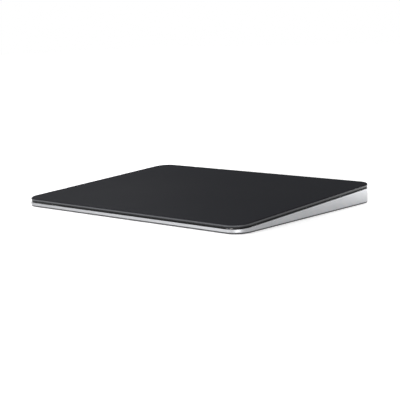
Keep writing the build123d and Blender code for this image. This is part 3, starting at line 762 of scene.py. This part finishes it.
# Each film: where it is thin, where it is thick, and over its copper lines
AMBER_FILM = ((0.46, 0.19, 0.028), (0.58, 0.26, 0.042), (0.34, 0.11, 0.022))
# The darker film is the amber film darkened: painted shade on the cables that wear it
SHADED_AMBER_FILM = ((0.030, 0.016, 0.008), (0.044, 0.024, 0.011), (0.075, 0.034, 0.014))


def flat_cable(name, running, colours):
    """A flat cable: copper lines under a film, along the way that the cable runs."""
    finish = Finish(name)
    x, y = finish.axes("XY")
    lines_to_the_rear = (x % CONDUCTOR_PITCH) < CONDUCTOR_WIDTH
    lines_to_the_side = (y % CONDUCTOR_PITCH) < CONDUCTOR_WIDTH
    if running == "y":
        conductors = lines_to_the_rear
    elif running == "x":
        conductors = lines_to_the_side
    else:
        outside = abs(x) > CABLE_BEND
        conductors = outside * lines_to_the_rear + (1.0 - outside) * lines_to_the_side
    film = finish.noise(700.0, 3.0)
    thin_film, thick_film, over_copper = colours
    cover = finish.blend(film, thin_film, thick_film)
    finish.paint({
        "Base Color": finish.blend(conductors * 0.8, cover, over_copper),
        "Roughness": finish.spread(film, 0.22, 0.34),
        "Coat Weight": 0.3,
        "Coat Roughness": 0.15,
        "Normal": finish.relief(conductors + film * 0.2, 0.000012, 0.6),
    })
    return finish.material


SEAL_STARTS = 0.0440
SEAL_PITCH = 0.0007


def battery_pouch_foil():
    """Satin laminate foil, a little crinkled, with the ribs of the heat seal on its ledge."""
    finish = Finish("battery_pouch_foil")
    x, y = finish.axes("XY")
    crinkle = finish.noise(120.0, 4.0, 0.55)
    creases = finish.noise(420.0, 3.0, 0.6, finish.stretched(0.4, 2.2, 1.0))
    sealed = x > SEAL_STARTS
    rib = abs((y % SEAL_PITCH) / SEAL_PITCH - 0.5) * 2.0
    height = crinkle * 0.7 + creases * 0.3 + sealed * rib * 0.35
    finish.paint({
        "Base Color": finish.blend(crinkle, (0.52, 0.53, 0.55), (0.64, 0.65, 0.67)),
        "Metallic": 0.85,
        "Roughness": finish.spread(creases, 0.32, 0.46),
        "Normal": finish.relief(height, 0.000120, 0.6),
    })
    return finish.material


def fibrous_tape():
    """White fleece tape with glue on both faces: short crossing fibres."""
    finish = Finish("fibrous_tape")
    one_way = finish.noise(1500.0, 3.0, 0.6, finish.stretched(4.0, 0.4, 1.0))
    other_way = finish.noise(1500.0, 3.0, 0.6, finish.stretched(0.4, 4.0, 1.0))
    fleece = one_way * 0.5 + other_way * 0.5
    finish.paint({
        "Base Color": finish.blend(fleece, (0.58, 0.57, 0.54), (0.74, 0.73, 0.70)),
        "Roughness": finish.spread(fleece, 0.62, 0.80),
        "Normal": finish.relief(fleece, 0.000025, 0.7),
    })
    return finish.material


def sliding_switch_plastic():
    """Smooth black acetal, polished where it slides."""
    finish = Finish("sliding_switch_plastic")
    rubbing = finish.noise(1400.0, 3.0, 0.6, finish.stretched(0.2, 4.0, 4.0))
    finish.paint({
        "Base Color": finish.blend(rubbing, (0.014, 0.014, 0.015), (0.026, 0.026, 0.027)),
        "Roughness": finish.spread(rubbing, 0.28, 0.44),
        "Normal": finish.relief(rubbing, 0.000004, 0.5),
    })
    return finish.material


finishes = {
    "aluminium": bead_blasted_aluminium(),
    "black_glass": etched_black_glass(),
    "black_carrier": black_anodised_carrier(),
    "cover_plastic": spark_eroded_cover_plastic(),
    "foot_rubber": moulded_foot_rubber(),
    "port_steel": drawn_port_steel(),
    "port_plastic": port_tongue_plastic(),
    "contact_gold": plated_gold_contacts(),
    "green_film": green_switch_film(),
    "circuit_board": solder_masked_board(),
    "spring_steel": rolled_spring_steel(),
    "gauge_foil": strain_gauge_foil(),
    "silicone": cast_silicone(),
    "screw_steel": nickelled_screw_steel(),
    "soft_iron": laminated_core_iron(),
    "copper": enamelled_copper_wire(),
    "shield_steel": tinned_shield_steel(),
    "chip_black": moulded_chip_epoxy(),
    "antenna_white": ceramic_antenna(),
    "capacitor_tan": ceramic_capacitors(),
    "connector_ivory": ivory_cable_connectors(),
    "cable_amber": flat_cable("amber_cable_to_the_rear", "y", AMBER_FILM),
    "battery_pouch": battery_pouch_foil(),
    "tape_white": fibrous_tape(),
    "switch_plastic": sliding_switch_plastic(),
}
gauge_cable = flat_cable("dark_cable_round_the_bend", "bent", SHADED_AMBER_FILM)
zinc_iron = zinc_plated_iron()
own_finishes = {
    "electrode_board": electrode_grid_board(),
    "attraction_rail": zinc_iron,
    "engine_base_plate": zinc_iron,
    "haptic_cable": flat_cable("amber_cable_to_the_side", "x", AMBER_FILM),
    "left_gauge_cable": gauge_cable,
    "right_gauge_cable": gauge_cable,
    "rear_board_cable": flat_cable("dark_cable_to_the_rear", "y", SHADED_AMBER_FILM),
}
for name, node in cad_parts.items():
    slot_name = node.material_slots[0].material.name.split(".")[0]
    node.material_slots[0].material = own_finishes.get(name, finishes[slot_name])


MERGE_WITHIN = 0.000001


def added(name, data):
    """A new object with that data, in the scene."""
    made = bpy.data.objects.new(name, data)
    bpy.context.scene.collection.objects.link(made)
    return made


def only(piece):
    """Selects that piece alone, and makes it active."""
    bpy.ops.object.select_all(action="DESELECT")
    piece.select_set(True)
    bpy.context.view_layer.objects.active = piece


def settle(piece):
    """Leaves a finished piece at the origin, its place in its mesh."""
    bpy.ops.object.mode_set(mode="OBJECT")
    only(piece)
    bpy.ops.object.transform_apply(location=True, rotation=True, scale=True)


def stand_for(piece, node_name, body):
    """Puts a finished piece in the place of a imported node."""
    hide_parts(node_name)
    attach(piece, body)


def placed_copy(pattern, prefix, node_name, place):
    """A copy of a pattern piece at that place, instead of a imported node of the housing's body."""
    piece = added(prefix + node_name, pattern.data.copy())
    piece.location = place
    settle(piece)
    stand_for(piece, node_name, "housing")


def merged_copy(node_name, name, body, slot_name, sharp=30.0):
    """A smooth-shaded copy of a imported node, which it replaces."""
    piece = added(name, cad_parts[node_name].data.copy())
    only(piece)
    bpy.ops.object.mode_set(mode="EDIT")
    bpy.ops.mesh.select_all(action="SELECT")
    bpy.ops.mesh.remove_doubles(threshold=MERGE_WITHIN)
    bpy.ops.object.mode_set(mode="OBJECT")
    bpy.ops.mesh.customdata_custom_splitnormals_clear()
    bpy.ops.object.shade_smooth_by_angle(angle=math.radians(sharp))
    weighted = piece.modifiers.new("weighted", "WEIGHTED_NORMAL")
    weighted.keep_sharp = True
    bpy.ops.object.modifier_apply(modifier=weighted.name)
    piece.data.materials[0] = finishes[slot_name]
    stand_for(piece, node_name, body)
    return piece


# The glass: its flat faces, its ground side and its rounded rim have a finish each
glass = merged_copy("touch_glass", "touch_plate", "touch_module", "black_glass", 40.0)
glass.data.materials.append(polished_glass_edge())
glass.data.materials.append(printed_glass_rim())
FLAT_SLOT, SIDE_SLOT, RIM_SLOT = range(3)
SIDE_BELOW = 0.10
RIM_BELOW = 0.9995
for face in glass.data.polygons:
    lean = abs(face.normal.dot(SLOPE))
    if lean < SIDE_BELOW:
        face.material_index = SIDE_SLOT
    elif lean < RIM_BELOW:
        face.material_index = RIM_SLOT
    else:
        face.material_index = FLAT_SLOT
merged_copy("housing", "machined_tray", "housing", "aluminium")
merged_copy("bottom_cover", "underside_plate", "housing", "cover_plastic")

# Feet: a disc with a rounded foot, a hollow under it and a low ring to stand on
FOOT_RADIUS = 0.0045
FOOT_HEIGHT = 0.00105
FOOT_ROUNDING = 0.00030
RING_WIDTH = 0.0009
DISH_INSET = 0.00015
DISH_DEPTH = 0.00022
PAD_INSET = 0.0012
PAD_RISE = 0.00010
# What faces are picked by: how far they look down or across, and an area in square metres
UNDERSIDE = -0.9
FLAT_UNDERSIDE = -0.99
ACROSS = 0.9
WIDE_FACE = 0.00002


def pick_none(piece):
    """Clears the choice of vertices, edges and faces, and leaves edit mode."""
    bpy.ops.object.mode_set(mode="OBJECT")
    for part in (piece.data.vertices, piece.data.edges, piece.data.polygons):
        part.foreach_set("select", [False] * len(part))


def pick_faces(piece, test):
    """Selects the faces that pass a test, in edit mode."""
    pick_none(piece)
    for face in piece.data.polygons:
        face.select = test(face)
    bpy.ops.object.mode_set(mode="EDIT")


def pick_edges(piece, test):
    """Selects the edges whose two ends pass a test, in edit mode."""
    pick_none(piece)
    for edge in piece.data.edges:
        start, end = (piece.data.vertices[number].co for number in edge.vertices)
        edge.select = test(start, end)
    bpy.ops.object.mode_set(mode="EDIT")


def turned_foot():
    """One foot on the origin, modelled from a disc."""
    bpy.ops.object.select_all(action="DESELECT")
    bpy.ops.mesh.primitive_cylinder_add(
        vertices=72,
        radius=FOOT_RADIUS,
        depth=FOOT_HEIGHT,
        location=(0.0, 0.0, FOOT_HEIGHT / 2),
    )
    foot = bpy.context.object
    settle(foot)
    bpy.ops.object.mode_set(mode="EDIT")
    bpy.ops.mesh.select_mode(type="FACE")
    pick_faces(foot, lambda face: face.normal.z < UNDERSIDE)
    bpy.ops.mesh.bevel(offset=FOOT_ROUNDING, segments=5, affect="EDGES")
    pick_faces(foot, lambda face: face.normal.z < FLAT_UNDERSIDE and face.area > WIDE_FACE)
    bpy.ops.mesh.inset(thickness=RING_WIDTH)
    bpy.ops.mesh.inset(thickness=DISH_INSET)
    bpy.ops.transform.translate(value=(0.0, 0.0, DISH_DEPTH))
    bpy.ops.mesh.inset(thickness=PAD_INSET)
    bpy.ops.mesh.inset(thickness=DISH_INSET)
    bpy.ops.transform.translate(value=(0.0, 0.0, -PAD_RISE))
    bpy.ops.object.mode_set(mode="OBJECT")
    bpy.ops.object.shade_smooth_by_angle(angle=math.radians(40.0))
    return foot


FOOT_X = 0.069
FOOT_Y = 0.04695
FEET = {
    "front_left_foot": (-FOOT_X, -FOOT_Y, 0.0),
    "front_right_foot": (FOOT_X, -FOOT_Y, 0.0),
    "rear_left_foot": (-FOOT_X, FOOT_Y, 0.0),
    "rear_right_foot": (FOOT_X, FOOT_Y, 0.0),
}
pattern_foot = turned_foot()
pattern_foot.data.materials.append(finishes["foot_rubber"])
for node_name, place in FEET.items():
    placed_copy(pattern_foot, "dished_", node_name, place)
bpy.data.objects.remove(pattern_foot)

# Coils: one turn is a flat ring round the core's middle leg, repeated side by side
COIL_LENGTH = 0.0060
COIL_TURNS = 17
TURN = COIL_LENGTH / COIL_TURNS
COIL_WIDTH = 0.0085
COIL_THICKNESS = 0.0021
COIL_HOLE_WIDTH = 0.0041
COIL_HOLE_THICKNESS = 0.0014
COIL_CORNER = 0.00055
WIRE_ROUNDING = 0.00011
FIRST_INSET = 0.0002
# Beyond these lie the coil's two ends and its two flat sides
OUTSIDE_ACROSS = COIL_WIDTH / 2 - COIL_CORNER * 1.01
OUTSIDE_UP = COIL_THICKNESS * 0.49


def on_the_outside(start, end):
    """Whether an edge runs round a turn, on its outer side."""
    flat = abs(start.x - end.x) < TURN / 4
    return flat and all(abs(spot.y) > OUTSIDE_ACROSS or abs(spot.z) > OUTSIDE_UP for spot in (start, end))


def wound_coil():
    """One coil round the origin, its leg along X."""
    bpy.ops.object.select_all(action="DESELECT")
    bpy.ops.mesh.primitive_cube_add(size=1.0, location=ORIGIN)
    coil = bpy.context.object
    coil.scale = (TURN, COIL_WIDTH, COIL_THICKNESS)
    settle(coil)
    bpy.ops.object.mode_set(mode="EDIT")
    bpy.ops.mesh.select_mode(type="EDGE")
    pick_edges(coil, lambda start, end: abs(start.x - end.x) > TURN / 2)
    bpy.ops.mesh.bevel(offset=COIL_CORNER, segments=4, affect="EDGES")
    bpy.ops.mesh.select_mode(type="FACE")
    pick_faces(coil, lambda face: abs(face.normal.x) > ACROSS)
    bpy.ops.mesh.inset(thickness=FIRST_INSET, use_individual=True)
    bpy.ops.transform.resize(
        value=(
            1.0,
            COIL_HOLE_WIDTH / (COIL_WIDTH - 2 * FIRST_INSET),
            COIL_HOLE_THICKNESS / (COIL_THICKNESS - 2 * FIRST_INSET),
        ),
        center_override=ORIGIN,
    )
    bpy.ops.mesh.bridge_edge_loops()
    bpy.ops.mesh.select_mode(type="EDGE")
    pick_edges(coil, on_the_outside)
    bpy.ops.mesh.bevel(offset=WIRE_ROUNDING, segments=3, affect="EDGES")
    bpy.ops.object.mode_set(mode="OBJECT")
    coil.location = (TURN / 2 - COIL_LENGTH / 2, 0.0, 0.0)
    settle(coil)
    turns = coil.modifiers.new("turns", "ARRAY")
    turns.use_relative_offset = False
    turns.use_constant_offset = True
    turns.constant_offset_displace = (TURN, 0.0, 0.0)
    turns.count = COIL_TURNS
    bpy.ops.object.modifier_apply(modifier=turns.name)
    bpy.ops.object.mode_set(mode="EDIT")
    bpy.ops.mesh.select_all(action="SELECT")
    bpy.ops.mesh.normals_make_consistent(inside=False)
    bpy.ops.object.mode_set(mode="OBJECT")
    bpy.ops.object.shade_smooth_by_angle(angle=math.radians(50.0))
    coil.rotation_euler = (TILT, 0.0, 0.0)
    settle(coil)
    return coil


pattern_coil = wound_coil()
pattern_coil.data.materials.append(finishes["copper"])
for node_name in ("front_left_coil", "front_right_coil", "rear_left_coil", "rear_right_coil"):
    low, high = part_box(node_name)
    placed_copy(pattern_coil, "wound_", node_name, (Vector(low) + Vector(high)) / 2)
bpy.data.objects.remove(pattern_coil)

# Floor: pale paper that takes the shadow, and a glow that makes it white away from the part
FLOOR_SIZE = 6.0
bpy.ops.object.select_all(action="DESELECT")
bpy.ops.mesh.primitive_plane_add(size=FLOOR_SIZE, location=ORIGIN)
floor = bpy.context.object
floor.name = "floor"

PAPER_GREY = (0.60, 0.60, 0.60)
GLOW_NEAR = 0.54
GLOW_FAR = 1.0
FADE_FROM = 0.11
FADE_TO = 0.40
floor_finish = Finish("pale_floor")
away = floor_finish.node("ShaderNodeVectorMath", {"operation": "LENGTH"}, {0: floor_finish.place})["Value"]
glow = floor_finish.spread(away, GLOW_NEAR, GLOW_FAR, FADE_FROM, FADE_TO) * floor_finish.seen()
paper = floor_finish.node("ShaderNodeBsdfDiffuse", None, {"Color": PAPER_GREY})
light = floor_finish.node("ShaderNodeEmission", None, {"Strength": glow})
both = floor_finish.node("ShaderNodeAddShader", None, {0: paper["BSDF"], 1: light["Emission"]})
floor_finish.show(both["Shader"])
floor.data.materials.append(floor_finish.material)


class Surround(Finish):
    """The world's own nodes, made in the same way."""

    def __init__(self, owner):
        self.tree = owner.node_tree
        self.output = self.node("ShaderNodeOutputWorld")


# World: white where it is seen, and a weaker light on the part
WHITE = (1.0, 1.0, 1.0)
ROOM_LIGHT = 0.30
world = bpy.data.worlds.new("studio")
world.use_nodes = True
bpy.context.scene.world = world
world.node_tree.nodes.clear()
studio = Surround(world)
strength = ROOM_LIGHT + (1.0 - ROOM_LIGHT) * studio.seen()
sky = studio.node("ShaderNodeBackground", None, {"Color": WHITE, "Strength": strength})
studio.show(sky["Background"])

# Lamps: where each stands, where it aims, its width and height, and its power in watts
LAMPS = {
    "overhead_softbox": ((0.0, -0.05, 0.90), ORIGIN, (1.0, 1.0), 1.2),
    "left_softbox": ((-0.24, 0.08, 0.16), (-0.05, -0.03, 0.0), (0.20, 0.10), 0.40),
    "front_left_softbox": ((-0.16, -0.48, 0.12), (0.02, -0.05, 0.0), (0.35, 0.12), 5.5),
    "front_right_softbox": ((0.29, -0.28, 0.045), (0.07, -0.05, 0.0), (0.22, 0.05), 1.6),
    "rear_right_softbox": ((0.135, 0.15, 0.03), (0.08, 0.056, 0.0), (0.05, 0.03), 0.23),
}
for name, (place, aim, size, power) in LAMPS.items():
    light = bpy.data.lights.new(name, "AREA")
    light.shape = "RECTANGLE"
    light.size, light.size_y = size
    light.energy = power
    lamp = added(name, light)
    lamp.location = place
    lamp.rotation_euler = (Vector(aim) - Vector(place)).to_track_quat("-Z", "Y").to_euler()
    lamp.visible_camera = False

# Camera
forward = Vector((
    math.sin(CAMERA_YAW) * math.cos(CAMERA_PITCH),
    math.cos(CAMERA_YAW) * math.cos(CAMERA_PITCH),
    -math.sin(CAMERA_PITCH),
))
level_right = Vector((math.cos(CAMERA_YAW), -math.sin(CAMERA_YAW), 0.0))
level_up = level_right.cross(forward)
right = math.cos(CAMERA_ROLL) * level_right + math.sin(CAMERA_ROLL) * level_up
up = math.cos(CAMERA_ROLL) * level_up - math.sin(CAMERA_ROLL) * level_right
aim = CAMERA_AIM + CAMERA_AIM_RIGHT * right + CAMERA_AIM_UP * up
eye = aim - CAMERA_DISTANCE * forward
camera_data = bpy.data.cameras.new("camera")
camera_data.sensor_width = FILM_WIDTH
camera_data.lens = LENS
camera_data.clip_start = CAMERA_NEAREST
camera = added("camera", camera_data)
turned = Matrix((right, up, -forward)).transposed().to_4x4()
camera.matrix_world = Matrix.Translation(eye) @ turned
bpy.context.scene.camera = camera

bpy.context.scene.view_settings.view_transform = "Standard"
